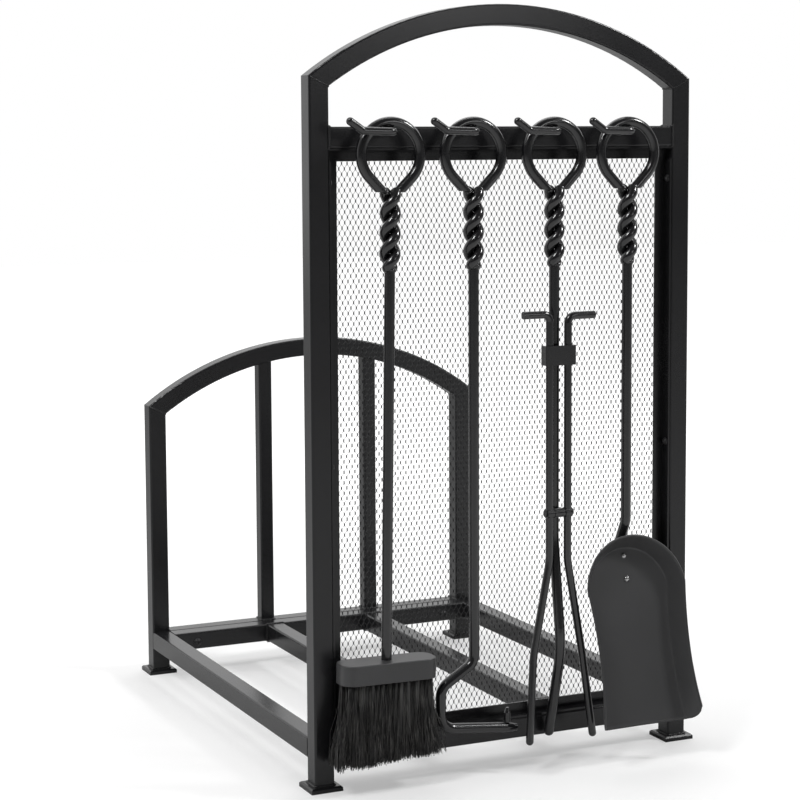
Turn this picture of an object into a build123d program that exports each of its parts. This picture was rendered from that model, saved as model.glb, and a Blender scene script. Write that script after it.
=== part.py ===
from build123d import *
import math
import os

# Log rack with four fireplace tools hanging on it.  Millimetres, +Z up, front faces -Y.
# While it is drawn, X = 0 is the rack's mid plane, Y = 0 its front face and Z = 0 the floor.

# Driving dimensions: the rack
TUBE = 20.0            # square tube of both frames and of the base
TUBE_WALL = 1.5
TUBE_EDGE = 2.0        # outer edge radius of the tube
WIDTH = 410.0          # over the uprights
DEPTH = 504.0          # front face to back face
FRONT_HEIGHT = 740.0
BACK_HEIGHT = 380.0
ARCH_RADIUS = 340.0    # outer radius of both arches
FOOT_SIDE = 32.0
FOOT_THICK = 5.0
FRONT_RAIL_TOP = 45.0
BASE_TOP = 48.5
HOOK_BAR_TOP = 624.5
BALUSTER = 16.0
BALUSTER_X = (-62.0, 71.0)
MID_RAIL_X = 62.0
ANGLE_LEG = 12.0       # angle bar that frames the mesh
ANGLE_THICK = 2.0
MESH_THICK = 1.5
SCREW_Z = (75.0, 308.0, 573.0)
BOLT_X = (-158.0, 0.0, 158.0)
BOLT = 5.0
SCREW = 4.0
SEAM = 0.02            # gap between welded neighbours
BORE_GAP = 0.05        # radial clearance in a bore

# Driving dimensions: the hooks and tools
HOOK_WIRE = 7.5
HOOK_Z = 619.5
HOOK_REACH = 29.0      # the hook's arm stands this far in front of the bar
HOOK_ARM = 33.0        # length of the arm, from its elbow to the rise of the tip
HOOK_TIP = (-13.0, -1.0, 8.5)
HOOK_BEND = 6.0
HOOK_X = {"brush": -131.0, "poker": -46.0, "tongs": 41.0, "shovel": 122.5}
TOOL_Y = -18.0         # plane in which the tools hang
HANG_GAP = 0.3
LOOP_WIRE = 10.0
LOOP_RADIUS = 30.0     # centreline of the hanging loop
TWIST_TOP = 564.0
TWIST_BOTTOM = 492.0
TWIST_DIAMETER = 20.0
ROD = 10.0
BRUSH_LEAN = 0.9       # degrees that the brush hangs off the vertical
BLOCK_TOP = 125.0
BLOCK_THICK = 19.0
BLOCK_SIZE = (98.0, 32.0)
BRISTLE_END = 31.0
POKER_BEND = 15.0
SPUR_X = 36.0          # distance of the poker's spur from the rod
PIVOT_Y = -27.5        # the tongs' pin runs in front of the rod
PIVOT_Z = 252.0
PIN = 4.0
PIN_HEAD = 6.5
PIN_END = 15.2         # half length of the pin
EYE = 9.6              # diameter of the arms' eyes
EYE_FACES = (6.3, 13.7)
ARM = 7.5
ARM_SPREAD = 10.0      # each arm of the tongs stands this far off the middle
TAB_X = 39.0           # reach of the finger tabs
TAB_Z = 444.0
CENTRE_LEG = 10.0
COLLAR_Z = (396.0, 415.0)
COLLAR_SHEET = 2.0
PAN_TILT = 15.1        # degrees that the pan leans forward
PAN_ORIGIN = (2.2, 238.0)    # Y and Z of the point from which the pan is drawn downwards
ROD_BEND_Z = 236.0     # height at which the shovel's rod starts back
ROD_JOIN = 28.0        # from here down the pan the rod lies against its back
ROD_END = 76.0
PAN_SHEET = 1.5
PAN_WALL = 20.0
PAN_FLARE = 11.0
PAN_END = -208.0       # the pan's mouth, measured down the pan from the bend
PAN_CORNER = 12.0
PAN_MOUTH = 46.0       # half widths of the pan's floor
PAN_WAIST = 41.0
PAN_SHOULDER = 45.5
RIVET = 4.0
RIVET_HEAD = 3.4
RIVET_Z = (-41.0, -64.0)

# Derived places
HALF = WIDTH / 2
INNER = HALF - TUBE
CROSS = INNER - SEAM
BACK_Y = DEPTH - TUBE
BACK_MIDDLE = DEPTH - TUBE / 2
BASE_FRONT = TUBE + SEAM
BASE_BACK = BACK_Y - SEAM
BASE_Z = BASE_TOP - TUBE / 2
RAIL_Z = FRONT_RAIL_TOP - TUBE / 2
BOLT_Z = (BASE_Z + RAIL_Z) / 2
LOOP_Z = HOOK_Z + HOOK_WIRE / 2 + HANG_GAP + LOOP_WIRE / 2 - LOOP_RADIUS
ORIGIN_Y = 218.285      # middle of the whole object's depth; the origin lies under it

nodes = {}


def box(x0, x1, y0, y1, z0, z1):
    """Axis-aligned box between two corners."""
    centre = Pos((x0 + x1) / 2, (y0 + y1) / 2, (z0 + z1) / 2)
    return centre * Box(x1 - x0, y1 - y0, z1 - z0)


def bar(start, end, diameter):
    """Round bar between two points."""
    way = Vector(*end) - Vector(*start)
    plane = Plane(origin=start, z_dir=way.normalized())
    return extrude(plane * Circle(diameter / 2), way.length)


def bent_bar(points, radius, diameter):
    """Round bar along a polyline whose corners are arcs of the given radius or radii."""
    path = FilletPolyline(*points, radius=radius)
    first = Vector(*points[1]) - Vector(*points[0])
    plane = Plane(origin=points[0], z_dir=first.normalized())
    return sweep(plane * Circle(diameter / 2), path=path)


def tube_section(side):
    """Hollow square with rounded edges, in the XY plane."""
    inside = side - 2 * TUBE_WALL
    return RectangleRounded(side, side, TUBE_EDGE) - RectangleRounded(inside, inside, 0.5)


def tube(start, end, side=TUBE):
    """Straight square tube, parallel to an axis, between two points on its centreline."""
    way = Vector(*end) - Vector(*start)
    across = Vector(0, 0, 1) if abs(way.Z) < 1 else Vector(1, 0, 0)
    plane = Plane(origin=start, x_dir=across, z_dir=way.normalized())
    return extrude(plane * tube_section(side), way.length)


# The two arched frames

def corner_heights(height):
    """Heights at which an arch's outer and inner faces meet those of the upright."""
    centre = height - ARCH_RADIUS
    outer = centre + math.sqrt(ARCH_RADIUS ** 2 - HALF ** 2)
    inner = centre + math.sqrt((ARCH_RADIUS - TUBE) ** 2 - INNER ** 2)
    return outer, inner


def mitre(height, side, above):
    """Block that fills the space above, or below, the cut between upright and arch."""
    outer, inner = corner_heights(height)
    slope = math.degrees(math.atan2(outer - inner, TUBE))
    reach = 300.0
    shift = reach / 2 + SEAM if above else -reach / 2 - SEAM
    middle = Pos((HALF + INNER) / 2, BACK_Y / 2, (outer + inner) / 2)
    block = middle * Rot(0, -slope, 0) * Pos(0, 0, shift) * Box(reach, 2 * DEPTH, reach)
    return block if side > 0 else mirror(block, about=Plane.YZ)


def upright(side, height, y):
    """Square tube from its foot up to the mitre under the arch."""
    x = side * (HALF - TUBE / 2)
    start = (x, y, FOOT_THICK + SEAM)
    end = (x, y, corner_heights(height)[0] + 1)
    return tube(start, end) - mitre(height, side, above=True)


def arch(height, y):
    """Square tube bent to an arc about Y, cut to the mitres at both ends."""
    half_turn = 45.0
    section = Pos(ARCH_RADIUS - TUBE / 2, 0) * tube_section(TUBE)
    ring = revolve(section, axis=Axis.Y, revolution_arc=2 * half_turn)
    shape = Pos(0, y, height - ARCH_RADIUS) * Rot(0, -90 - half_turn, 0) * ring
    for side in (-1, 1):
        shape -= mitre(height, side, above=False)
    return shape


def foot(x, y):
    """Square plate with a chamfered top edge."""
    plate = Box(FOOT_SIDE, FOOT_SIDE, FOOT_THICK)
    plate = chamfer(plate.faces().sort_by(Axis.Z)[-1].edges(), 1.5)
    return Pos(x, y, FOOT_THICK / 2) * plate


for frame, y, height in (("front", TUBE / 2, FRONT_HEIGHT), ("back", BACK_MIDDLE, BACK_HEIGHT)):
    for side_name, side in (("left", -1), ("right", 1)):
        nodes[f"{frame}_{side_name}_upright"] = upright(side, height, y)
        nodes[f"{frame}_{side_name}_foot"] = foot(side * (HALF - TUBE / 2), y)
    nodes[f"{frame}_arch"] = arch(height, y)

bar_z = HOOK_BAR_TOP - TUBE / 2
nodes["hook_bar"] = tube((-CROSS, TUBE / 2, bar_z), (CROSS, TUBE / 2, bar_z))
nodes["front_rail"] = tube((-CROSS, TUBE / 2, RAIL_Z), (CROSS, TUBE / 2, RAIL_Z))
nodes["back_rail"] = tube((-CROSS, BACK_MIDDLE, BASE_Z), (CROSS, BACK_MIDDLE, BASE_Z))


def baluster(x):
    """Thin square tube from the back rail to the underside of the back arch."""
    blank = tube((x, BACK_MIDDLE, BASE_TOP + SEAM), (x, BACK_MIDDLE, BACK_HEIGHT), BALUSTER)
    disc = Cylinder(ARCH_RADIUS - TUBE - SEAM, 2 * TUBE)
    return blank & (Pos(0, BACK_MIDDLE, BACK_HEIGHT - ARCH_RADIUS) * Rot(90, 0, 0) * disc)


for side_name, x in zip(("left", "right"), BALUSTER_X):
    nodes[f"{side_name}_baluster"] = baluster(x)


# The base between the two frames, and the bolts that hold it

def bolt(x, y, way, shank):
    """Bolt along Y: a domed head on the face at y and a shank that goes in along way."""
    stem = bar((x, y, BOLT_Z), (x, y + way * shank, BOLT_Z), BOLT)
    head = bar((x, y - way * SEAM, BOLT_Z), (x, y - way * 3, BOLT_Z), 2 * BOLT - 1)
    neck = bar((x, y, BOLT_Z), (x, y - way * 1, BOLT_Z), BOLT)
    return stem + neck + head


def nut(x, y):
    """Hexagon nut behind the back rail, bored for its bolt."""
    plane = Plane(origin=(x, y, BOLT_Z), x_dir=(1, 0, 0), z_dir=(0, 1, 0))
    hexagon = RegularPolygon(BOLT - 0.5, 6, major_radius=False)
    return extrude(plane * (hexagon - Circle(BOLT / 2 + BORE_GAP)), 4)


def bolt_holes(shape):
    """Drill the clearance holes of one bolt row through a rail."""
    for x in BOLT_X:
        shape -= bar((x, -DEPTH, BOLT_Z), (x, 2 * DEPTH, BOLT_Z), BOLT + 2 * BORE_GAP)
    return shape


for side_name, side in (("left", -1), ("right", 1)):
    x = side * (HALF - TUBE / 2)
    nodes[f"{side_name}_base_rail"] = tube((x, BASE_FRONT, BASE_Z), (x, BASE_BACK, BASE_Z))
    x = side * MID_RAIL_X
    start, end = (x, BASE_FRONT + TUBE + SEAM, BASE_Z), (x, BASE_BACK - TUBE - SEAM, BASE_Z)
    nodes[f"{side_name}_mid_rail"] = tube(start, end)
for end_name, y in (("front", BASE_FRONT + TUBE / 2), ("back", BASE_BACK - TUBE / 2)):
    nodes[f"{end_name}_base_rail"] = bolt_holes(tube((-CROSS, y, BASE_Z), (CROSS, y, BASE_Z)))
nodes["back_rail"] = bolt_holes(nodes["back_rail"])
front_holes = bolt_holes(nodes["front_rail"])
inner_wall = box(-CROSS, CROSS, TUBE - TUBE_WALL - 1, TUBE + 1, 0, FRONT_RAIL_TOP)
nodes["front_rail"] = (nodes["front_rail"] - inner_wall) + (front_holes & inner_wall)
back_bolts = [bolt(x, BASE_BACK - TUBE, 1, 2 * TUBE + SEAM + 5) for x in BOLT_X]
front_bolts = [bolt(x, BASE_FRONT + TUBE, -1, TUBE + 6) for x in BOLT_X]
nodes["back_bolts"] = Compound(children=back_bolts)
nodes["back_nuts"] = Compound(children=[nut(x, DEPTH + SEAM) for x in BOLT_X])
nodes["front_bolts"] = Compound(children=front_bolts)


# The mesh panel in its angle frame, screwed between the front uprights

MESH_Y = ANGLE_LEG + ANGLE_THICK
OPEN_BOTTOM = FRONT_RAIL_TOP + SEAM
OPEN_TOP = HOOK_BAR_TOP - TUBE - SEAM


def angle(length):
    """Angle bar along Z from 0: one leg along +X behind, the other along -Y at x = 0."""
    back_leg = box(0, ANGLE_LEG, ANGLE_LEG, MESH_Y, 0, length)
    side_leg = box(0, ANGLE_THICK, 1, MESH_Y, 0, length)
    return back_leg + side_leg


def screw(side, z):
    """Domed screw through the side leg of the angle and into the upright."""
    face = side * (CROSS - ANGLE_THICK)
    y = ANGLE_LEG / 2
    stem = bar((face - side, y, z), (face + side * 6, y, z), SCREW)
    return stem + bar((face - side * SEAM, y, z), (face - side * 2.2, y, z), 7.5)


end_gap = ANGLE_LEG + SEAM
side_angle = Pos(-CROSS, 0, OPEN_BOTTOM + end_gap) * angle(OPEN_TOP - OPEN_BOTTOM - 2 * end_gap)
nodes["mesh_left_angle"] = side_angle
nodes["mesh_right_angle"] = mirror(side_angle, about=Plane.YZ)
flat = Rot(0, 90, 0)
bottom_angle = mirror(angle(2 * CROSS), about=Plane.YZ)
nodes["mesh_bottom_angle"] = Pos(-CROSS, 0, OPEN_BOTTOM) * flat * bottom_angle
nodes["mesh_top_angle"] = Pos(-CROSS, 0, OPEN_TOP) * flat * angle(2 * CROSS)
screwed = ("mesh_left_angle", "mesh_right_angle", "front_left_upright", "front_right_upright")
hole_end = HALF - 3
for z in SCREW_Z:
    start, end = (-hole_end, ANGLE_LEG / 2, z), (hole_end, ANGLE_LEG / 2, z)
    for name in screwed:
        nodes[name] -= bar(start, end, SCREW + 2 * BORE_GAP)
nodes["mesh_screws"] = Compound(children=[screw(side, z) for side in (-1, 1) for z in SCREW_Z])
mesh_edge = 3.0        # distance of the panel's edge from the tubes around it
mesh_x = INNER - mesh_edge
mesh_z = (OPEN_BOTTOM + mesh_edge, OPEN_TOP - mesh_edge)
nodes["mesh_panel"] = box(-mesh_x, mesh_x, MESH_Y + SEAM, MESH_Y + MESH_THICK, *mesh_z)


# The hooks on the bar, and what all four tools share

def hook(x):
    """Bent wire: out of the bar, along it to the left, and up to a rounded tip."""
    elbow = (x, -HOOK_REACH, HOOK_Z)
    arm_end = (x - HOOK_ARM, -HOOK_REACH, HOOK_Z + 1)
    tip = tuple(a + b for a, b in zip(arm_end, HOOK_TIP))
    wire = bent_bar([(x, -SEAM, HOOK_Z), elbow, arm_end, tip], HOOK_BEND, HOOK_WIRE)
    return wire + Pos(*tip) * Sphere(HOOK_WIRE / 2)


def loop(x):
    """Wire eye: an arc about Y whose ends run straight down to the twist."""
    end_x, end_z = LOOP_WIRE / 2 + 1, TWIST_TOP - 2
    drop = LOOP_Z - end_z
    turn = math.atan2(end_x, drop) + math.acos(LOOP_RADIUS / math.hypot(end_x, drop))
    side_x = LOOP_RADIUS * math.sin(turn)
    side_z = LOOP_Z - LOOP_RADIUS * math.cos(turn)
    top = (x, TOOL_Y, LOOP_Z + LOOP_RADIUS)
    left, right = (x - side_x, TOOL_Y, side_z), (x + side_x, TOOL_Y, side_z)
    left_end, right_end = (x - end_x, TOOL_Y, end_z), (x + end_x, TOOL_Y, end_z)
    path = Line(left_end, left) + ThreePointArc(left, top, right) + Line(right, right_end)
    way = Vector(*left) - Vector(*left_end)
    section = Plane(origin=left_end, z_dir=way.normalized()) * Circle(LOOP_WIRE / 2)
    side = 2 * LOOP_WIRE
    spare = box(x - side, x + side, TOOL_Y - side, TOOL_Y + side, end_z - side, TWIST_TOP + SEAM)
    return sweep(section, path=path) - spare


def handle(tool, x):
    """The loop and the twisted grip of one tool."""
    nodes[f"{tool}_hook"] = hook(x)
    nodes[f"{tool}_loop"] = loop(x)
    nodes[f"{tool}_twist"] = bar((x, TOOL_Y, TWIST_BOTTOM), (x, TOOL_Y, TWIST_TOP), TWIST_DIAMETER)


for tool, x in HOOK_X.items():
    handle(tool, x)
ROD_TOP = TWIST_BOTTOM - SEAM


# The brush

def bristle_bundle(x):
    """Bundle of bristles, widening from the block to the free end."""
    top = Plane(origin=(x, TOOL_Y, BLOCK_TOP - BLOCK_THICK - SEAM))
    end = Plane(origin=(x, TOOL_Y, BRISTLE_END))
    width, depth = BLOCK_SIZE
    spread = RectangleRounded(width + 5, depth, 12)
    root = RectangleRounded(width - 4, depth - 4, 10)
    return loft([end * spread, top * root])


x = HOOK_X["brush"]
width, depth = BLOCK_SIZE
socket_end = BLOCK_TOP - 12
block_plane = Plane(origin=(x, TOOL_Y, BLOCK_TOP - BLOCK_THICK))
block = extrude(block_plane * RectangleRounded(width, depth, 13), BLOCK_THICK)
block = fillet(block.faces().sort_by(Axis.Z)[-1].edges(), 1.2)
socket = bar((x, TOOL_Y, socket_end), (x, TOOL_Y, BLOCK_TOP + 1), ROD + 2 * BORE_GAP)
nodes["brush_rod"] = bar((x, TOOL_Y, socket_end + SEAM), (x, TOOL_Y, ROD_TOP), ROD)
nodes["brush_block"] = block - socket
nodes["brush_bristles"] = bristle_bundle(x)
hang_point = Pos(x, TOOL_Y, HOOK_Z)
for part in ("loop", "twist", "rod", "block", "bristles"):
    upright_part = hang_point.inverse() * nodes[f"brush_{part}"]
    nodes[f"brush_{part}"] = hang_point * Rot(0, BRUSH_LEAN, 0) * upright_part


# The poker

x = HOOK_X["poker"]
tip = (x + 34, TOOL_Y, 43.5)
shin_x = x - 36
poker_line = [(x, TOOL_Y, ROD_TOP), (x, TOOL_Y, 112), (shin_x, TOOL_Y, 90), (shin_x, TOOL_Y, 51), tip]
point_way = (Vector(*tip) - Vector(*poker_line[-2])).normalized() * 12
point_start = Plane(origin=tip, z_dir=point_way)
point_end = Plane(origin=Vector(*tip) + point_way, z_dir=point_way)
point = loft([point_start * Circle(ROD / 2), point_end * Circle(3.5)])
nodes["poker_rod"] = bent_bar(poker_line, POKER_BEND, ROD) + point
spur_z, cone_z, cone_height = 48.8, 58.0, 5.0
spur = bar((x + SPUR_X, TOOL_Y, spur_z), (x + SPUR_X, TOOL_Y, cone_z), 7)
spur += Pos(x + SPUR_X, TOOL_Y, cone_z + cone_height / 2) * Cone(3.5, 1.5, cone_height)
nodes["poker_spur"] = spur


# The tongs: a rod with the centre leg, and a fork of two arms that turns on a pin

x = HOOK_X["tongs"]


def cross_bar(start, end, diameter):
    """Round bar on the pin's line, between two distances from the tongs' middle."""
    return bar((x + start, PIVOT_Y, PIVOT_Z), (x + end, PIVOT_Y, PIVOT_Z), diameter)


def tongs_arm(side):
    """Round arm: finger tab, straight shank past the rod, and a spread leg."""
    near, leg_x, tip_x = x + side * ARM_SPREAD, x + side * 27, x + side * 35
    points = [
        (x + side * TAB_X, PIVOT_Y, TAB_Z - side),
        (near, PIVOT_Y, TAB_Z - side),
        (near, PIVOT_Y, 205),
        (leg_x, PIVOT_Y + 1, 112),
        (tip_x, PIVOT_Y - 6.5, 31),
    ]
    arm = bent_bar(points, (7, 60, 120), ARM)
    eye = cross_bar(side * EYE_FACES[0], side * EYE_FACES[1], EYE)
    bore = cross_bar(0, side * 2 * EYE_FACES[1], PIN + 2 * SEAM)
    return arm + eye + Pos(*points[-1]) * Sphere(ARM / 2) - bore


rod_end = PIVOT_Z + 6
nodes["tongs_rod"] = bar((x, TOOL_Y, rod_end), (x, TOOL_Y, ROD_TOP), ROD)
leg_line = [
    (x, TOOL_Y, rod_end - SEAM),
    (x, TOOL_Y, 225),
    (x, TOOL_Y - 15, 118),
    (x, TOOL_Y + 9, 31),
]
leg_bends = (100, 100)
leg = bent_bar(leg_line, leg_bends, CENTRE_LEG)
nodes["tongs_centre_leg"] = leg + Pos(*leg_line[-1]) * Sphere(CENTRE_LEG / 2)
nodes["tongs_left_arm"] = tongs_arm(-1)
nodes["tongs_right_arm"] = tongs_arm(1)
pin = cross_bar(-PIN_END, PIN_END, PIN)
for side in (-1, 1):
    pin += cross_bar(side * (EYE_FACES[1] + BORE_GAP), side * PIN_END, PIN_HEAD)
nodes["tongs_pin"] = pin
lug_radius = 4.5
lug = cross_bar(-5.6, 5.6, 2 * lug_radius)
lug += box(x - 4, x + 4, PIVOT_Y, TOOL_Y, PIVOT_Z - lug_radius, PIVOT_Z + lug_radius)
lug -= cross_bar(-PIN_END, PIN_END, PIN + 2 * BORE_GAP) + nodes["tongs_rod"]
nodes["tongs_pivot_lug"] = lug - bent_bar(leg_line, leg_bends, CENTRE_LEG + 2 * SEAM)
collar_front = PIVOT_Y - ARM / 2 - COLLAR_SHEET - SEAM
collar_x = ARM_SPREAD + ARM / 2 + 0.75
collar = box(x - collar_x - 2, x + collar_x + 2, collar_front, PIVOT_Y + 5, *COLLAR_Z)
collar = fillet(collar.edges().filter_by(Axis.Z).sort_by(Axis.Y)[:2], 2)
collar_inside = collar_front + COLLAR_SHEET
inside = box(x - collar_x, x + collar_x, collar_inside, PIVOT_Y + 6, 0, FRONT_HEIGHT)
nodes["tongs_collar"] = collar - inside


# The shovel, whose pan is drawn upright below a point behind its top and then tilted

x = HOOK_X["shovel"]
pan_place = Pos(x, *PAN_ORIGIN) * Rot(-PAN_TILT, 0, 0)
PAN_BACK = -ROD / 2 - SEAM


def pan_outline(grow, y):
    """Outline of the pan in a plane y, every edge moved out by grow."""
    mouth, waist, shoulder = PAN_MOUTH + grow, PAN_WAIST + grow, PAN_SHOULDER + grow
    low, middle, high, top = PAN_END - 2 - grow, -140, -72, -32.5 + grow
    right = ThreePointArc((mouth, y, low), (waist, y, middle), (shoulder, y, high))
    over = ThreePointArc((shoulder, y, high), (0, y, top), (-shoulder, y, high))
    left = ThreePointArc((-shoulder, y, high), (-waist, y, middle), (-mouth, y, low))
    return make_face([right, over, left, Line((-mouth, y, low), (mouth, y, low))])


def pan():
    """Sheet pan: a floor with a wall all round it except at the mouth."""
    front = PAN_BACK - PAN_WALL
    outside = loft([pan_outline(0, PAN_BACK), pan_outline(PAN_FLARE, front)], ruled=True)
    floor = PAN_BACK - PAN_SHEET
    inside_flare = PAN_FLARE - PAN_SHEET
    inside = loft([pan_outline(-PAN_SHEET, floor), pan_outline(inside_flare, front - 0.1)], ruled=True)
    round_y, round_z = front + PAN_CORNER, PAN_END + PAN_CORNER
    corner = box(-99, 99, front - 1, round_y, PAN_END - 1, round_z)
    corner -= bar((-99, round_y, round_z), (99, round_y, round_z), 2 * PAN_CORNER)
    return outside - inside - corner - box(-99, 99, -99, 99, -300, PAN_END)


def rivet(z):
    """Domed rivet through the pan's floor into the rod."""
    face = PAN_BACK - PAN_SHEET - SEAM
    head = Pos(0, face + 1, z) * Sphere(RIVET_HEAD)
    head &= box(-9, 9, face - RIVET_HEAD, face, z - 9, z + 9)
    return head + bar((0, face - 1, z), (0, 2, z), RIVET)




def down_the_pan(distance):
    """Point on the line behind the pan's floor, that far below the pan's origin."""
    return tuple((pan_place * Pos(0, 0, -distance)).position)


rod_line = [(x, TOOL_Y, ROD_TOP), (x, TOOL_Y, ROD_BEND_Z)]
nodes["shovel_rod"] = bent_bar(rod_line + [down_the_pan(ROD_JOIN), down_the_pan(ROD_END)], 14, ROD)
nodes["shovel_pan"] = pan_place * pan()
for z in RIVET_Z:
    hole = pan_place * bar((0, 4 * PAN_BACK, z), (0, 2 + BORE_GAP, z), RIVET + 2 * BORE_GAP)
    nodes["shovel_rod"] -= hole
    nodes["shovel_pan"] -= hole
nodes["shovel_rivets"] = Compound(children=[pan_place * rivet(z) for z in RIVET_Z])


os.makedirs("parts", exist_ok=True)
for name, shape in nodes.items():
    export_step(Pos(0, -ORIGIN_Y, 0) * shape, f"parts/{name}.step")
everything = Compound(children=[Pos(0, -ORIGIN_Y, 0) * shape for shape in nodes.values()])
print(len(nodes), "nodes, box", everything.bounding_box())
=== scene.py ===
"""Log rack with four fireplace tools hanging on it.  Metres, +Z up, the front faces -Y."""

import bpy
import numpy as np
from mathutils import Euler, Matrix, Vector


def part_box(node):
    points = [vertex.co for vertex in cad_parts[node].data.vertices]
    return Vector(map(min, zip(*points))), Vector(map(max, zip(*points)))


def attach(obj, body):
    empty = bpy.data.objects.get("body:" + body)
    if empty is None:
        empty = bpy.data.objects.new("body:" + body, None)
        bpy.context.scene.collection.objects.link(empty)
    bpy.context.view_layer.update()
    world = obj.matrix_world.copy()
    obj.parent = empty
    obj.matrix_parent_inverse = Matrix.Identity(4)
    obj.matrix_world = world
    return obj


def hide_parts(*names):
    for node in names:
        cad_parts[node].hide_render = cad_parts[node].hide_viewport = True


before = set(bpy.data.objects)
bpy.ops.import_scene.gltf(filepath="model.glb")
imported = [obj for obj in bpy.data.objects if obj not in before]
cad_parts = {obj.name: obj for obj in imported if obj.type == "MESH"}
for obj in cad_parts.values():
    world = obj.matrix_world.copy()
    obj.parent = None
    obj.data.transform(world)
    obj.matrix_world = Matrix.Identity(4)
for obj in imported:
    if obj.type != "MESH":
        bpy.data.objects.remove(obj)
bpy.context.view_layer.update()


# The tubes.  Both arched frames and the base between them are square steel tube with soft edges,
# cut, mitred and welded.  They carry a satin black powder coat, whose skin is finely uneven.

class Wire:
    """One value running through a material; sums and products of wires add Math nodes."""

    def __init__(self, finish, socket):
        self.finish = finish
        self.socket = socket

    def maths(self, operation, first, second):
        return self.finish.node("Math", {"operation": operation}, {0: first, 1: second})

    def __add__(self, other):
        return self.maths("ADD", self, other)

    def __sub__(self, other):
        return self.maths("SUBTRACT", self, other)

    def __mul__(self, other):
        return self.maths("MULTIPLY", self, other)

    __radd__ = __add__
    __rmul__ = __mul__


class Finish:
    """A material and the nodes that go into it."""

    def __init__(self, name):
        self.material = bpy.data.materials.new(name)
        self.material.use_nodes = True
        self.nodes = self.material.node_tree.nodes
        self.surface = self.nodes["Principled BSDF"]

    def plug(self, socket, value):
        if isinstance(value, Wire):
            self.material.node_tree.links.new(value.socket, socket)
        else:
            socket.default_value = value

    def node(self, kind, settings, inputs, output=0):
        """Node of a kind: its settings are set first, then the values or wires of its sockets."""
        made = self.nodes.new("ShaderNode" + kind)
        for name, value in settings.items():
            setattr(made, name, value)
        for name, value in inputs.items():
            self.plug(made.inputs[name], value)
        return Wire(self, made.outputs[output])

    def noise(self, place, scale, detail=2.0):
        return self.node("TexNoise", {}, {"Vector": place, "Scale": scale, "Detail": detail})

    def finish(self, **sockets):
        for name, value in sockets.items():
            self.plug(self.surface.inputs[name.replace("_", " ")], value)
        return self.material


def tint(finish, dark, light, amount):
    """Colour between two others, each a triple or a wire, by a wire from 0 to 1."""
    dark, light = (c if isinstance(c, Wire) else (*c, 1) for c in (dark, light))
    inputs = {"Factor": amount, 6: dark, 7: light}
    return finish.node("Mix", {"data_type": "RGBA"}, inputs, output=2)


def powder_coat(name, dark, light, roughness, peel, gloss=0.0):
    """Baked powder: broad drifts of colour and sheen, orange peel 2 mm wide and a finer grit."""
    coat = Finish(name)
    place = coat.node("TexCoord", {}, {}, output="Object")
    drift = coat.noise(place, 11.0, 3.0)
    orange_peel = coat.noise(place, 520.0, 1.0)
    grit = coat.noise(place, 2300.0, 2.0)
    height = orange_peel * 0.7 + grit * 0.3
    inputs = {"Strength": peel, "Distance": 0.0002, "Height": height}
    return coat.finish(
        Base_Color=tint(coat, dark, light, drift * 0.7 + grit * 0.3),
        Roughness=roughness + 0.10 * (drift - 0.5) + 0.06 * (grit - 0.5),
        Coat_Weight=gloss,
        Coat_Roughness=0.12,
        Normal=coat.node("Bump", {}, inputs),
    )


def paint(material, *names):
    """Give CAD nodes their finish."""
    for name in names:
        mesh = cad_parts[name].data
        mesh.materials.clear()
        mesh.materials.append(material)


FRAME_BLACK = powder_coat("frame black", (0.006, 0.006, 0.007), (0.014, 0.014, 0.015), 0.25, 0.14)
for end in ("front", "back"):
    paint(FRAME_BLACK, f"{end}_arch", f"{end}_rail", f"{end}_base_rail")
    paint(FRAME_BLACK, f"{end}_left_upright", f"{end}_right_upright")
    paint(FRAME_BLACK, f"{end}_left_foot", f"{end}_right_foot")
paint(FRAME_BLACK, "hook_bar", "left_baluster", "right_baluster")
paint(FRAME_BLACK, "left_base_rail", "right_base_rail", "left_mid_rail", "right_mid_rail")


# The weld beads.  Where one tube ends on another, a bead of weld runs round the joint and is
# left rippled under the coat; where the arches meet the uprights it is ground almost flat.

def lines_between(corners, step):
    """Points along straight runs from corner to corner, about one step apart."""
    runs = []
    for start, end in zip(corners[:-1], corners[1:]):
        count = max(2, int(np.linalg.norm(end - start) / step))
        share = np.linspace(0, 1, count, endpoint=False)[:, None]
        runs.append(start + (end - start) * share)
    return np.concatenate(runs + [corners[-1:]])


def sweep(paths, radii, sides, across):
    """Round section carried along paths.

    Each point is the path's point plus its radius times cos(a) along one normal and sin(a) along
    the other, where the first normal is the tangent crossed with the vector across.
    """
    tangent = np.gradient(paths, axis=-2)
    tangent /= np.linalg.norm(tangent, axis=-1, keepdims=True)
    first = np.cross(tangent, across)
    first /= np.linalg.norm(first, axis=-1, keepdims=True)
    second = np.cross(first, tangent)
    angle = np.linspace(0, 2 * np.pi, sides, endpoint=False)[:, None]
    ring = np.cos(angle) * first[..., None, :] + np.sin(angle) * second[..., None, :]
    return paths[..., None, :] + radii[..., None, None] * ring


def skin(grid):
    """Points and faces of grids whose last axes are rings, points of a ring and x, y, z.

    Neighbouring rings are joined by quads, the ring closes on itself, and the ends are capped.
    """
    rings, sides = grid.shape[-3:-1]
    count = grid.size // (rings * sides * 3)
    index = np.arange(count * rings * sides).reshape(count, rings, sides)
    near, far = index[:, :-1], index[:, 1:]
    quads = [near, far, np.roll(far, -1, 2), np.roll(near, -1, 2)]
    faces = [np.stack(quads, -1).reshape(-1, 4), index[:, 0], index[:, -1, ::-1]]
    return grid.reshape(-1, 3), faces


def join(*parts):
    """One set of points and faces from several."""
    points, faces, start = [], [], 0
    for part_points, part_faces in parts:
        points.append(part_points)
        faces += [face + start for face in part_faces]
        start += len(part_points)
    return np.concatenate(points), faces


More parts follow.
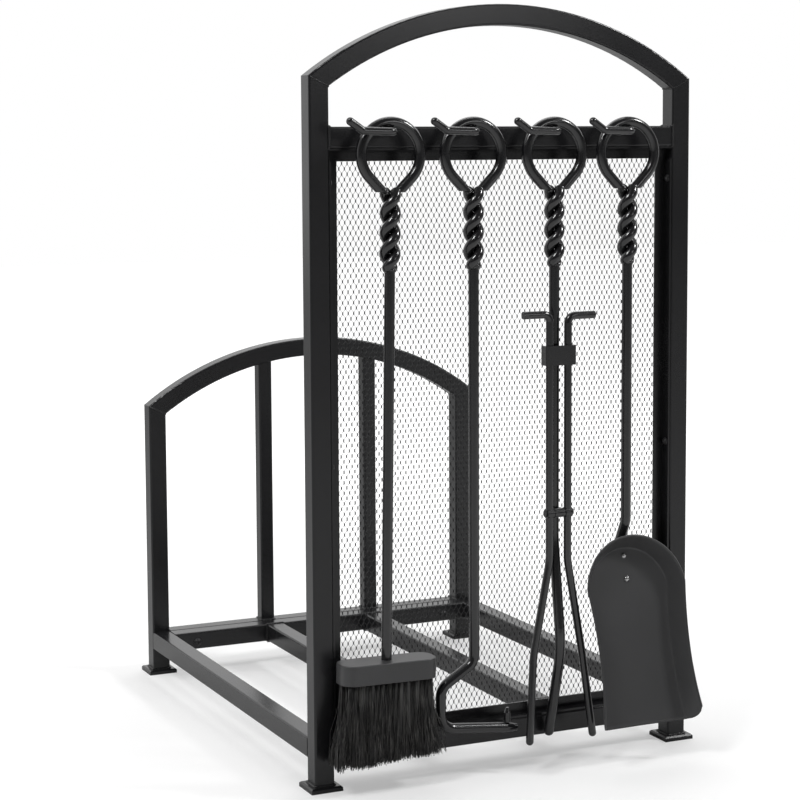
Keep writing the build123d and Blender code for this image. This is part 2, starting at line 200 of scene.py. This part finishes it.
def add_piece(name, shape, material, body, replaces=(), smooth=True):
    """Mesh object from points and faces, riding on a body."""
    points, faces = shape
    mesh = bpy.data.meshes.new(name)
    mesh.vertices.add(len(points))
    mesh.vertices.foreach_set("co", points.astype(np.float32).ravel())
    corners = np.concatenate([part.ravel() for part in faces])
    mesh.loops.add(len(corners))
    mesh.loops.foreach_set("vertex_index", corners.astype(np.int32))
    sizes = np.concatenate([np.full(len(part), part.shape[1]) for part in faces])
    mesh.polygons.add(len(sizes))
    mesh.polygons.foreach_set("loop_start", (np.cumsum(sizes) - sizes).astype(np.int32))
    mesh.update(calc_edges=True)
    mesh.polygons.foreach_set("use_smooth", np.full(len(sizes), smooth))
    mesh.validate()
    mesh.materials.append(material)
    piece = bpy.data.objects.new(name, mesh)
    bpy.context.scene.collection.objects.link(piece)
    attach(piece, body)
    if replaces:
        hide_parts(*replaces)
    return piece


def bead(corners, radius, across):
    """Weld bead along straight runs; its radius ripples as two sines, 2 and 13 mm long."""
    path = lines_between(np.array(corners, float), 0.0005)
    run = np.arange(len(path)) * 0.0005
    ripple = 1 + 0.12 * np.sin(2 * np.pi * run / 0.002) + 0.05 * np.sin(2 * np.pi * run / 0.013)
    return skin(sweep(path, radius * ripple, 8, np.array(across, float)))


def end_bead(name, side, axis):
    """Bead round the end of a tube, at one face of its box, on an axis."""
    low, high = (np.array(corner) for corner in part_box(name))
    at = (low, high)[side][axis]
    one, two = [other for other in range(3) if other != axis]
    corners = []
    for first, second in ((low, low), (high, low), (high, high), (low, high), (low, low)):
        corner = np.zeros(3)
        corner[axis], corner[one], corner[two] = at, first[one], second[two]
        corners.append(corner)
    across = np.zeros(3)
    across[axis] = 1
    return bead(corners, 0.0014, across)


TUBE = 0.020
ARCH_RADIUS = 0.340
HALF_WIDTH = 0.205
FRONT_ARCH_CENTRE, BACK_ARCH_CENTRE = 0.400, 0.040
GROUND_BEAD, CORNER_BEAD = 0.0005, 0.0008

beads = []
for rail in ("hook_bar", "front_rail", "back_rail"):
    beads += [end_bead(rail, side, 0) for side in (0, 1)]
for rail in ("left_mid_rail", "right_mid_rail"):
    beads += [end_bead(rail, side, 1) for side in (0, 1)]
for post in ("left_baluster", "right_baluster"):
    beads.append(end_bead(post, 0, 2))
for post in ("front_left", "front_right", "back_left", "back_right"):
    beads.append(end_bead(f"{post}_upright", 0, 2))
front_y, back_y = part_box("front_arch")[0].y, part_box("back_arch")[1].y
for centre_z, y in ((FRONT_ARCH_CENTRE, front_y), (BACK_ARCH_CENTRE, back_y - TUBE)):
    outer_z = centre_z + np.sqrt(ARCH_RADIUS**2 - HALF_WIDTH**2)
    inner_z = centre_z + np.sqrt((ARCH_RADIUS - TUBE) ** 2 - (HALF_WIDTH - TUBE) ** 2)
    for side in (-1, 1):
        outer = (side * (HALF_WIDTH - 0.0015), outer_z - CORNER_BEAD)
        inner_x = side * (HALF_WIDTH - TUBE)
        inner = (inner_x + side * 0.0015, inner_z + CORNER_BEAD)
        for face in (y, y + TUBE):
            run = [(outer[0], face, outer[1]), (inner[0], face, inner[1])]
            beads.append(bead(run, GROUND_BEAD, (0, 1, 0)))
        run = [(inner_x, y + 0.001, inner_z), (inner_x, y + TUBE - 0.001, inner_z)]
        beads.append(bead(run, CORNER_BEAD, (0, 0, 1)))
add_piece("weld_beads", join(*beads), FRAME_BLACK, "rack")


# The bolts.  Three button-head bolts in each end of the base hold it to the two frames.
# They are pressed steel with a black finish, a hexagonal socket and a short end of thread.

FASTENER_BLACK = powder_coat(
    "fastener black", (0.013, 0.013, 0.014), (0.03, 0.03, 0.031), 0.3, 0.05
)


def turned(rows, centre, axis, turns=36):
    """Surface of revolution about an axis.

    A row is radius, height along the axis and how far the ring is a hexagon, from 0 to 1: the
    hexagon's radius at an angle is its half width over the cosine of the angle from a flat.
    """
    radius, height, hexagon = np.array(rows, float).T
    angle = np.linspace(0, 2 * np.pi, turns, endpoint=False)
    flat = np.cos(np.pi / 6) / np.cos(angle % (np.pi / 3) - np.pi / 6)
    reach = radius[:, None] * (1 + hexagon[:, None] * (flat - 1))
    axis = np.array(axis, float)
    one = np.roll(axis, 1)
    two = np.cross(axis, one)
    ring = np.cos(angle)[:, None] * one + np.sin(angle)[:, None] * two
    points = np.array(centre, float) + height[:, None, None] * axis + reach[..., None] * ring
    return skin(points)


def button_head(radius, height):
    """Rows of a domed head: rim, quarter ellipse, then down the socket to its floor."""
    lean = np.linspace(0.15, 1.1, 9)
    dome = [(radius * np.cos(t), height * np.sin(t), 0) for t in lean]
    edge = radius * np.cos(1.1)
    top = height * np.sin(1.1)
    socket = [(edge * 0.95, top, 1), (edge * 0.9, top * 0.97, 1), (edge * 0.86, height * 0.3, 1)]
    return [(radius, 0, 0)] + dome + socket + [(edge * 0.3, height * 0.28, 0)]


def thread(radius, length, pitch=0.0008):
    """Rows of a threaded end: the radius dips to 0.85 of itself at each groove."""
    height = np.linspace(0, length, int(length / pitch) * 2 + 1)
    ridge = np.where(np.arange(len(height)) % 2, 0.85, 1.0)
    return [(radius * r, h, 0) for r, h in zip(ridge, height)] + [(radius * 0.7, length, 0)]


BOLT_X = (-0.158, 0.0, 0.158)
BOLT_Z = 0.03675
bolt_head = button_head(0.0045, 0.003)
for end, way in (("front", 1), ("back", -1)):
    low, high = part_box(f"{end}_bolts")
    head_y = high.y - 0.003 if way > 0 else low.y + 0.003
    far_y = low.y if way > 0 else high.y
    parts = []
    for x in BOLT_X:
        parts.append(turned(bolt_head, (x, head_y, BOLT_Z), (0, way, 0)))
        tip = thread(0.0024, 0.0072)
        parts.append(turned(tip, (x, far_y + way * 0.0072, BOLT_Z), (0, -way, 0), 16))
    name = f"{end}_button_bolts"
    add_piece(name, join(*parts), FASTENER_BLACK, "rack", [f"{end}_bolts"])
paint(FASTENER_BLACK, "back_nuts")


# The mesh frame.  Four lengths of thin steel angle, coated like the tubes, stand inside the
# front frame, and small domed screws through their side legs hold them to the uprights.

for side in ("left", "right", "top", "bottom"):
    paint(FRAME_BLACK, f"mesh_{side}_angle")
low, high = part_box("mesh_screws")
screw_y = (low.y + high.y) / 2
parts = []
for z in (0.075, 0.308, 0.573):
    for side in (-1, 1):
        seat = side * 0.18298
        parts.append(turned(button_head(0.00375, 0.0022), (seat, screw_y, z), (-side, 0, 0), 24))
heads = join(*parts)
add_piece("mesh_screw_heads", heads, FASTENER_BLACK, "rack", ["mesh_screws"])


# The mesh.  Expanded steel: a slit sheet pulled open into diamonds 10 mm tall and 5.6 mm wide.
# Its strands are thinner than a match and meet in short upright bonds; it is coated black.

MESH_BLACK = powder_coat("mesh black", (0.012, 0.012, 0.013), (0.022, 0.022, 0.023), 0.45, 0.1)
STRAND_PITCH = 0.0028
BOND_PITCH = 0.005
BOND_WIDE, STRAND_WIDE, STRAND_DEEP = 0.00048, 0.00018, 0.0004
HALF_BOND = 0.0012


def strands(first, last, low, high):
    """Upright zigzag strands from one number to another.

    Strand i stands at i pitches.  At row j it leans half a pitch to the right where i + j is
    even and to the left where it is odd, so that it touches the neighbour which leans towards
    it.  Each row has three rings: the lower and upper end of its bond, and a narrow waist half
    way to the next row, where the strand crosses its own line.
    """
    number = np.arange(first, last)[:, None]
    rows = int((high.z - low.z) / BOND_PITCH)
    ring = np.arange(3 * rows - 1)[None, :]
    row, part = ring // 3, ring % 3
    lean = np.where(part == 2, 0, np.where((number + row) % 2, -1, 1))
    middle = (high.x + low.x) / 2
    x = middle + number * STRAND_PITCH + lean * (STRAND_PITCH - BOND_WIDE) / 2
    z = low.z + BOND_PITCH * (row + 0.5) + np.choose(part, (-HALF_BOND, HALF_BOND, BOND_PITCH / 2))
    y = (low.y + high.y) / 2 + 0.00015 * lean
    centre = np.stack(np.broadcast_arrays(x, y, z), -1)
    wide = np.where(part == 2, STRAND_WIDE, BOND_WIDE) + 0 * number
    corners = np.array([[-1, -1], [1, -1], [1, 1], [-1, 1]]) / 2
    section = np.zeros((*wide.shape, 4, 3))
    section[..., 0] = wide[..., None] * corners[:, 0]
    section[..., 1] = STRAND_DEEP * corners[:, 1]
    return skin(centre[..., None, :] + section)


low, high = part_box("mesh_panel")
reach = int((high.x - low.x) / 2 / STRAND_PITCH)
halves = {"mesh_left_half": (-reach + 1, 0), "mesh_right_half": (0, reach)}
for name, (first, last) in halves.items():
    shape = strands(first, last, low, high)
    add_piece(name, shape, MESH_BLACK, "rack", ["mesh_panel"], smooth=False)


# The hooks.  Each is one length of 7.5 mm rod, bent to stand out from the bar, run left and
# turn up, and welded to the bar.  They are a little glossier than the tubes.

TOOL_BLACK = powder_coat(
    "tool black", (0.004, 0.004, 0.005), (0.010, 0.010, 0.011), 0.22, 0.08, 0.7
)
TOOLS = {"brush": -0.131, "poker": -0.046, "tongs": 0.041, "shovel": 0.1225}


def ring_bead(centre, radius, size, axis):
    """Closed weld bead round a rod: a circle about an axis, its section rippling along it."""
    angle = np.linspace(0, 2 * np.pi, 97)
    axis = np.array(axis, float)
    one = np.roll(axis, 1)
    two = np.cross(axis, one)
    ring = np.cos(angle)[:, None] * one + np.sin(angle)[:, None] * two
    path = np.array(centre, float) + radius * ring
    return skin(sweep(path, size * (1 + 0.13 * np.sin(12 * angle)), 8, axis))


hook_welds = []
bar_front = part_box("hook_bar")[0].y
for tool, x in TOOLS.items():
    paint(TOOL_BLACK, f"{tool}_hook")
    hook_welds.append(ring_bead((x, bar_front, 0.6195), 0.0041, 0.0012, (0, 1, 0)))
add_piece("hook_welds", join(*hook_welds), FRAME_BLACK, "rack")


# The grips.  A length of 10 mm wire is bent into a hanging loop, and its two ends are twisted
# round each other above the rod, to which they are welded.  The brush hangs a little askew.

LEAN = {"brush": np.radians(0.9), "poker": 0.0, "tongs": 0.0, "shovel": 0.0}
HANG_Z = 0.6195
HELIX_OUT, HELIX_WIRE, HELIX_PITCH = 0.0050, 0.00495, 0.037
low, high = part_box("poker_twist")
TOOL_Y = (low.y + high.y) / 2
TWIST = (low.z - 0.0005, high.z + 0.0015)


def hung(points, tool):
    """Points of a tool turned about its hook: x' = x cos t + z sin t, z' = z cos t - x sin t."""
    turn = LEAN[tool]
    x = points[..., 0] - TOOLS[tool]
    z = points[..., 2] - HANG_Z
    turned_x = x * np.cos(turn) + z * np.sin(turn) + TOOLS[tool]
    turned_z = z * np.cos(turn) - x * np.sin(turn) + HANG_Z
    return np.stack([turned_x, points[..., 1], turned_z], -1)


def twisted_wires(x):
    """Two helices half a turn apart, one turn in 37 mm, that draw in at their lower ends."""
    z = np.linspace(TWIST[1], TWIST[0], 120)
    turn = -2 * np.pi * (TWIST[1] - z) / HELIX_PITCH
    out = HELIX_OUT - 0.0026 * np.clip((0.4985 - z) / 0.007, 0, 1) ** 2
    start = np.array([0, np.pi])[:, None]
    helix = np.stack(
        [x + out * np.cos(turn + start), TOOL_Y + out * np.sin(turn + start), z + 0 * start], -1
    )
    thick = HELIX_WIRE - 0.0015 * np.clip((0.4955 - z) / 0.004, 0, 1) ** 2
    return skin(sweep(helix, np.broadcast_to(thick, (2, 120)), 24, np.array([0.0, 0.0, 1.0])))


for tool, x in TOOLS.items():
    weld = ring_bead((x, TOOL_Y, 0.4925), 0.0050, 0.0016, (0, 0, 1))
    points, faces = join(twisted_wires(x), weld)
    shape = hung(points, tool), faces
    add_piece(f"{tool}_twisted_wires", shape, TOOL_BLACK, tool, [f"{tool}_twist"])
    paint(TOOL_BLACK, f"{tool}_loop", f"{tool}_rod")


# The brush.  A moulded black block with a rounded plan holds five rows of tufts of coarse
# black fibre, which splay a little towards their cut ends.

def moulded_black(name):
    """Satin plastic with a fine spark-eroded grain."""
    plastic = Finish(name)
    place = plastic.node("TexCoord", {}, {}, output="Object")
    grain = plastic.noise(place, 1600.0, 3.0)
    drift = plastic.noise(place, 25.0)
    inputs = {"Strength": 0.25, "Distance": 0.0002, "Height": grain}
    return plastic.finish(
        Base_Color=tint(plastic, (0.038, 0.038, 0.039), (0.062, 0.062, 0.064), drift),
        Roughness=0.36 + 0.12 * (grain - 0.5),
        Normal=plastic.node("Bump", {}, inputs),
    )


paint(moulded_black("block black"), "brush_block")
TUFT_ROWS, TUFTS = 5, 17
FIBRES = 56
BRISTLE = (0.0312, 0.107)


def fibres(x):
    """Bent three-sided fibres.

    A fibre starts in its tuft's hole and runs down; with s from 0 at the block to 1 at the cut
    end, its offset is s squared times its splay plus a small sideways sine.
    """
    chance = np.random.default_rng(7)
    across, along = np.meshgrid(np.linspace(-1, 1, TUFTS), np.linspace(-1, 1, TUFT_ROWS))
    corner = np.clip(np.abs(along) - 0.4, 0, 1) * 0.12
    hole = np.stack([across * (0.0435 - 0.02 * corner), along * 0.0112], -1).reshape(-1, 1, 2)
    hole = hole + chance.normal(0, (0.0013, 0.0006), hole.shape)
    angle = chance.uniform(0, 2 * np.pi, (len(hole), FIBRES))
    spread = np.sqrt(chance.uniform(0, 1, (len(hole), FIBRES)))
    disc = np.stack([np.cos(angle) * spread, np.sin(angle) * spread], -1)
    root = (hole + disc * 0.0016).reshape(-1, 2)
    tuft_lean = chance.normal(0, (0.0052, 0.0020), (len(hole), 1, 2))
    stray = chance.standard_t(2.5, disc.shape) * (0.0030, 0.0012)
    splay = disc * 0.0036 + tuft_lean + hole * (0.14, 0.2) + stray
    splay = splay.reshape(-1, 2)
    count = len(root)
    share = np.linspace(0, 1, 6)
    tuft_cut = np.repeat(np.abs(chance.normal(0, 0.02, len(hole))), FIBRES)[:, None]
    short = tuft_cut + np.abs(chance.normal(0, 0.03, (count, 1)))
    lowest = BRISTLE[0] - 0.0075 * np.clip(0.45 - root[:, :1] / 0.1, 0, 1)
    length = (BRISTLE[1] - lowest) * (1 - short)
    wave = 0.0007 * np.sin(4 * share + chance.uniform(0, 6, (count, 1))) * share
    flat = root[:, None] + splay[:, None] * share[:, None] ** 2
    flat_y = np.clip(flat[..., 1], -0.0155, 0.0155)
    edge = np.where(flat_y < -0.0068, 0.0575, 0.0512)
    flat_x = np.clip(flat[..., 0] + wave, -0.0535, edge)
    path = np.stack([x + flat_x, TOOL_Y + flat_y, BRISTLE[1] - length * share], -1)
    thick = np.broadcast_to(np.linspace(0.00030, 0.00022, 6), (count, 6))
    return sweep(path, thick, 3, np.array([0.0, 1.0, 0.0]))


def bristle_black(name):
    """Coarse fibre: dull black, with long streaks of painted sheen in a paler, warmer black."""
    fibre = Finish(name)
    place = fibre.node("TexCoord", {}, {}, output="Object")
    stretched = fibre.node("Mapping", {}, {"Vector": place, "Scale": (900, 900, 25)})
    streak = fibre.noise(stretched, 1.0)
    # The paler streaks along the fibres are painted sheen: highlights laid into the colour.
    sheen = fibre.node("MapRange", {}, {"Value": streak, "From Min": 0.45, "From Max": 0.75})
    return fibre.finish(
        Base_Color=tint(fibre, (0.018, 0.018, 0.018), (0.17, 0.165, 0.158), sheen),
        Roughness=0.42 + 0.2 * (streak - 0.5),
    )


def bristle_core(x):
    """Solid heart of the bundle, an ellipse-like ring: x and y are signed square roots."""
    angle = np.linspace(0, 2 * np.pi, 64, endpoint=False)
    side = np.sign(np.cos(angle)) * np.abs(np.cos(angle)) ** 0.35
    depth = np.sign(np.sin(angle)) * np.abs(np.sin(angle)) ** 0.5
    z = np.linspace(0.047, 0.1065, 8)[:, None]
    grow = 0.0435 - 0.002 * (0.1065 - z) / 0.06
    ring = [x + grow * side, TOOL_Y + grow * 0.27 * depth, z + 0 * side]
    return skin(np.stack(np.broadcast_arrays(*ring), -1)[::-1])


BRISTLE_BLACK = bristle_black("bristle black")
x = TOOLS["brush"]
fibre_points, fibre_faces = skin(fibres(x))
shape = hung(fibre_points, "brush"), fibre_faces
add_piece("bristle_fibres", shape, BRISTLE_BLACK, "brush", ["brush_bristles"])
core_points, core_faces = bristle_core(x)
shape = hung(core_points, "brush"), core_faces
add_piece("bristle_core", shape, BRISTLE_BLACK, "brush")


# The poker and the tongs.  Round rod, hot-bent; the poker has a short spur welded on its bar.
# The tongs' two outer legs turn on a riveted pin and pass through a folded sheet collar.

paint(TOOL_BLACK, "poker_spur", "tongs_centre_leg", "tongs_pivot_lug", "tongs_collar")
paint(TOOL_BLACK, "tongs_left_arm", "tongs_right_arm")
paint(FASTENER_BLACK, "tongs_pin")


# The shovel.  A pan pressed from sheet, with a soft fold between floor and wall, is held to the
# bent end of its rod by two domed rivets.

# The pan's coat is painted several times paler than the other blacks. This is painted light,
# standing in for the light its tilted floor catches from above and in front.
PAN_BLACK_WITH_PAINTED_LIGHT = powder_coat("pan black with painted light", (0.038, 0.038, 0.039), (0.066, 0.066, 0.068), 0.36, 0.12)
PAN_LEAN = np.radians(15.1)
PAN_ORIGIN = (TOOLS["shovel"], -0.216085, 0.238)
PAN_TOP, PAN_MOUTH, PAN_BACK = -0.0325, -0.2076, -0.00502
PAN_WAIST, PAN_SHOULDER, SPINE_TOP = -0.140, -0.072, -0.078
PAN_SHEET, FOLD, RIM_LEAN = 0.0015, 0.004, np.radians(61)
RIM = 0.020 - PAN_SHEET * np.cos(RIM_LEAN)
CORNER = 0.012


def arc(start, through, end, count):
    """Points of the circle through three points of a plane, from the first to the last."""
    a, b, c = (complex(*point) for point in (start, through, end))
    w = (c - a) / (b - a)
    centre = (b - a) * (w - abs(w) ** 2) / (2j * w.imag) + a
    turn_b, turn_c = np.angle((b - centre) / (a - centre)), np.angle((c - centre) / (a - centre))
    if turn_b * turn_c < 0 or abs(turn_b) > abs(turn_c):
        turn_c -= np.sign(turn_c) * 2 * np.pi
    points = centre + (a - centre) * np.exp(1j * np.linspace(0, turn_c, count))
    return np.stack([points.real, points.imag], -1)


def pan_surface():
    """Back of the pressed sheet, in rows from the pan's spine out to its rim.

    The outline runs from the mouth up one side, round the top and down the other side.  A floor
    row is a share of the way from the spine to the outline.  The fold follows a circle of radius
    FOLD, and the rim then leans out straight; near the mouth its edge is rounded to CORNER.
    """
    mouth, waist, shoulder = (0.046, PAN_MOUTH), (0.041, PAN_WAIST), (0.0455, PAN_SHOULDER)
    right = arc(mouth, waist, shoulder, 40)
    over = arc(shoulder, (0, PAN_TOP), (-shoulder[0], shoulder[1]), 50)[1:-1]
    outline = np.concatenate([right, over, right[::-1] * (-1, 1)])
    along = np.gradient(outline, axis=0)
    out = np.stack([along[:, 1], -along[:, 0]], -1)
    out /= np.linalg.norm(out, axis=1, keepdims=True)
    spine = np.stack([0 * outline[:, 0], np.minimum(outline[:, 1], SPINE_TOP)], -1)
    inset = FOLD * np.tan(RIM_LEAN / 2)
    floor = [spine + (outline - out * inset - spine) * share for share in np.linspace(0, 1, 14)]
    bend = np.linspace(0, RIM_LEAN, 7)[1:]
    reach = [FOLD * np.sin(angle) - inset for angle in bend]
    depth = [FOLD * (1 - np.cos(angle)) for angle in bend]
    fold_reach, fold_depth = reach[-1], depth[-1]
    for share in np.linspace(0, 1, 9)[1:]:
        length = share * (RIM - fold_depth) / np.sin(RIM_LEAN)
        reach.append(fold_reach + length * np.cos(RIM_LEAN))
        depth.append(fold_depth + length * np.sin(RIM_LEAN))
    flat = np.stack(floor + [outline + out * distance for distance in reach])
    forward = np.array([0.0] * len(floor) + depth)[:, None]
    corner = np.clip(forward - (RIM - CORNER), 0, CORNER - 0.0001)
    near_mouth = np.clip((PAN_WAIST - flat[..., 1]) / 0.068, 0, 1)
    z = flat[..., 1] + (CORNER - np.sqrt(CORNER**2 - corner**2)) * near_mouth
    return flat[..., 0], np.broadcast_to(PAN_BACK - forward, z.shape), z


def pan_shape():
    """The pan leaned forward: y = y' cos t + z' sin t, z = z' cos t - y' sin t, then moved."""
    x, y, z = pan_surface()
    turned_y = y * np.cos(PAN_LEAN) + z * np.sin(PAN_LEAN)
    turned_z = z * np.cos(PAN_LEAN) - y * np.sin(PAN_LEAN)
    points = np.stack([x, turned_y, turned_z], -1) + PAN_ORIGIN
    rows, columns = x.shape
    index = np.arange(rows * columns).reshape(rows, columns)
    corners = [index[:-1, :-1], index[:-1, 1:], index[1:, 1:], index[1:, :-1]]
    return points.reshape(-1, 3), [np.stack(corners, -1).reshape(-1, 4)]


pan = add_piece("pressed_pan", pan_shape(), PAN_BLACK_WITH_PAINTED_LIGHT, "shovel", ["shovel_pan"])
seam = pan.modifiers.new("seam", "WELD")
seam.merge_threshold = 0.00005
wall = pan.modifiers.new("sheet", "SOLIDIFY")
wall.thickness = PAN_SHEET
wall.offset = -1
RIVET_STEEL = powder_coat("rivet steel", (0.42, 0.42, 0.42), (0.6, 0.6, 0.6), 0.25, 0.05)
RIVET_STEEL.node_tree.nodes["Principled BSDF"].inputs["Metallic"].default_value = 1
paint(RIVET_STEEL, "shovel_rivets")


# The studio.  A pale floor without an edge, a bright room, a soft light from above left, and a
# long lens a little below the rack's top.

def pale_floor():
    """Sheet of matt white paper 16 m across, with a painted glow that only camera rays see."""
    paper = Finish("floor paper")
    place = paper.node("TexCoord", {}, {}, output="Object")
    tone = paper.noise(place, 3.0)
    seen = paper.node("LightPath", {}, {}, output="Is Camera Ray")
    far = paper.node("VectorMath", {"operation": "LENGTH"}, {0: place}, output="Value")
    edge = paper.node("MapRange", {}, {"Value": far, "From Min": 0.3, "From Max": 1.6})
    # Painted glow: camera rays alone see the floor glow, at half strength near the middle and
    # rising to full strength from 0.3 to 1.6 m out, so the floor reads white away from the rack.
    painted_glow = tint(paper, (0.0, 0.0, 0.0), tint(paper, (0.50,) * 3, (1.0,) * 3, edge), seen)
    mesh = bpy.data.meshes.new("floor")
    reach = 8.0
    corners = [(-reach, -reach, 0), (reach, -reach, 0), (reach, reach, 0), (-reach, reach, 0)]
    mesh.from_pydata(corners, [], [(0, 1, 2, 3)])
    mesh.materials.append(
        paper.finish(
            Base_Color=tint(paper, (0.56, 0.56, 0.56), (0.60, 0.60, 0.60), tone),
            Roughness=0.9,
            Emission_Color=painted_glow,
            Emission_Strength=0.75,
        )
    )
    floor = bpy.data.objects.new("floor", mesh)
    bpy.context.scene.collection.objects.link(floor)


def area_light(name, place, target, size, power):
    """Square soft light that faces a point."""
    lamp = bpy.data.lights.new(name, "AREA")
    lamp.size = size
    lamp.energy = power
    light = bpy.data.objects.new(name, lamp)
    light.location = place
    light.rotation_euler = (Vector(target) - Vector(place)).to_track_quat("-Z", "Y").to_euler()
    bpy.context.scene.collection.objects.link(light)


def bright_room():
    """White room whose near side, at -Y, is dimmer than the backdrop."""
    world = bpy.data.worlds.new("room")
    world.use_nodes = True
    tree = world.node_tree
    place = tree.nodes.new("ShaderNodeTexCoord")
    split = tree.nodes.new("ShaderNodeSeparateXYZ")
    ramp = tree.nodes.new("ShaderNodeMapRange")
    ramp.inputs["From Min"].default_value = -0.3
    ramp.inputs["From Max"].default_value = 0.5
    ramp.inputs["To Min"].default_value = 0.10
    ramp.inputs["To Max"].default_value = 1.0
    seen = tree.nodes.new("ShaderNodeLightPath")
    level = tree.nodes.new("ShaderNodeMath")
    level.operation = "MAXIMUM"
    background = tree.nodes["Background"]
    background.inputs["Color"].default_value = (1, 1, 1, 1)
    tree.links.new(place.outputs["Generated"], split.inputs[0])
    tree.links.new(split.outputs["Y"], ramp.inputs["Value"])
    tree.links.new(ramp.outputs[0], level.inputs[0])
    tree.links.new(seen.outputs["Is Camera Ray"], level.inputs[1])
    tree.links.new(level.outputs[0], background.inputs["Strength"])
    bpy.context.scene.world = world


pale_floor()
bright_room()
area_light("key", (-1.9, -1.0, 2.6), (0, 0, 0.35), 0.8, 36)
area_light("side", (2.0, -1.3, 2.2), (0, 0, 0.35), 0.45, 34)
area_light("low_front", (0.85, -2.1, 1.10), (0.0, -0.3, 0.5), 0.5, 2.4)
area_light("top", (0.4, 0.9, 3.0), (0, 0, 0.3), 2.0, 26)

lens = bpy.data.cameras.new("camera")
lens.lens = 92.60
lens.sensor_width = 36
lens.shift_y = -0.06875
camera = bpy.data.objects.new("camera", lens)
turn = Euler(np.radians((84.306, 0, -24.964))).to_matrix().to_4x4()
roll = Matrix.Rotation(np.radians(-0.31), 4, "Z")
camera.matrix_world = Matrix.Translation((-0.92764, -1.96476, 0.61209)) @ turn @ roll
bpy.context.scene.collection.objects.link(camera)
bpy.context.scene.camera = camera
bpy.context.scene.view_settings.view_transform = "Standard"
